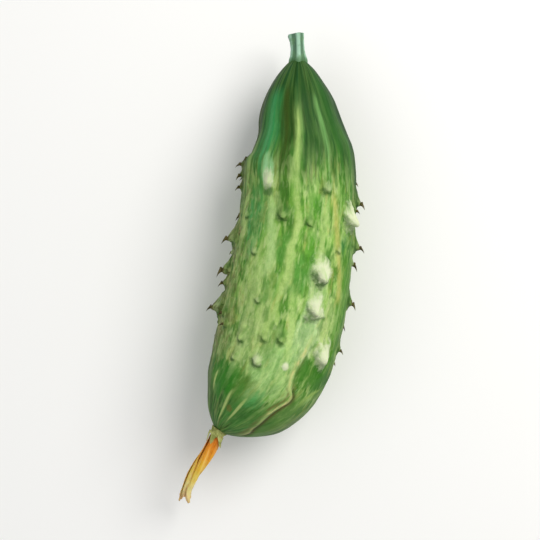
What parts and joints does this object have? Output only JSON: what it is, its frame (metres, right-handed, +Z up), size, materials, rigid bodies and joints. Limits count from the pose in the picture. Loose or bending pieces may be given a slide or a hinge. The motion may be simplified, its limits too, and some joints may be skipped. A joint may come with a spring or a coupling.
{
  "type": "pickling cucumber",
  "caption": "Warty pickling cucumber as picked, slightly bent, with a stub of stalk and the withered flower on its blossom end, lying on a small flat spot.",
  "frame": {"origin": "middle of the small flat spot that the fruit rests on, on the surface", "axes": "+Z up from the surface, +Y along the fruit towards the stalk, +X towards the outer side of the bend"},
  "size_m": [0.0484, 0.1269, 0.0329],
  "materials": {
    "fruit_skin": "waxy sheen over firm green skin",
    "stalk_green": "matt, fibrous and green",
    "dried_calyx": "matt and dry",
    "withered_petal": "papery and crinkled"
  },
  "bodies": {
    "root": {"fruit": "fruit_skin", "stalk": "stalk_green", "flower_collar": "dried_calyx", "sepal_1": "dried_calyx", "sepal_2": "dried_calyx", "sepal_3": "dried_calyx", "sepal_4": "dried_calyx", "sepal_5": "dried_calyx", "petal_1": "withered_petal", "petal_2": "withered_petal", "petal_3": "withered_petal", "petal_4": "withered_petal", "petal_5": "withered_petal"}
  },
  "joints": []
}
